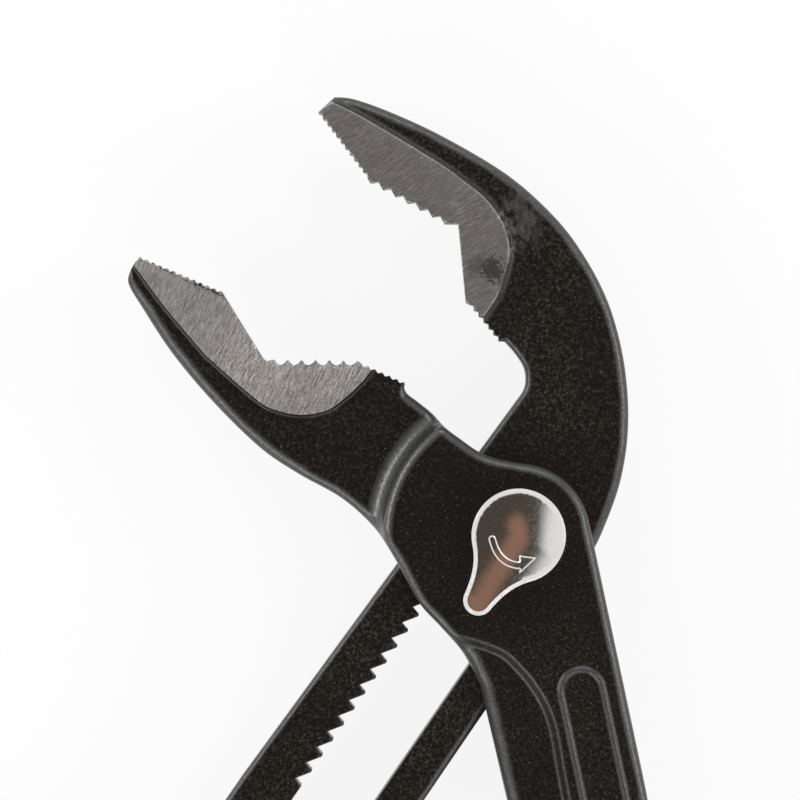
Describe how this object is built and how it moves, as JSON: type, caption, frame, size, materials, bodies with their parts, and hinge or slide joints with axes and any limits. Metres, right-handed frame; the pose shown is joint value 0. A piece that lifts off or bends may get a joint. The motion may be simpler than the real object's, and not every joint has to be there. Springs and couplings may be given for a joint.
{
  "type": "water pump pliers",
  "caption": "Black forged water pump pliers with a box joint, toothed adjusting slot, chrome release lever on the pivot and dipped grips.",
  "frame": {"origin": "on the pivot axis, at the back face of the box joint on which the tool lies", "axes": "+Z along the pivot axis out of the front face, +Y along the box lever from its handle to the jaws"},
  "size_m": [0.1685, 0.2617, 0.0189],
  "materials": {
    "forged_black": "black phosphate with ground jaw faces",
    "grip_black": "dipped soft plastic",
    "bolt_steel": "turned steel",
    "spring_steel": "spring steel",
    "chrome": "polished"
  },
  "bodies": {
    "box": {"box_lever": "forged_black", "box_grip": "grip_black", "hinge_bolt": "bolt_steel", "retaining_ring": "spring_steel"},
    "guide": {"guide_block": "bolt_steel"},
    "slider": {"slide_lever": "forged_black", "slide_grip": "grip_black"},
    "release": {"locking_pawl": "bolt_steel", "release_lever": "chrome", "pawl_spring": "spring_steel"}
  },
  "joints": [
    {"name": "jaw_swing", "type": "hinge", "parent": "box", "child": "guide", "pos_m": [0, 0, 0.00785], "axis": [0, 0, 1], "range_deg": [-8, 27.5]},
    {"name": "jaw_adjust", "type": "slide", "parent": "guide", "child": "slider", "axis": [0.7254, 0.6884, 0], "range_m": [0, 0.03]},
    {"name": "release_turn", "type": "hinge", "parent": "guide", "child": "release", "pos_m": [0, 0, 0.0158], "axis": [0, 0, 1], "range_deg": [0, 10], "stiffness_Nm_per_rad": 0.01}
  ]
}
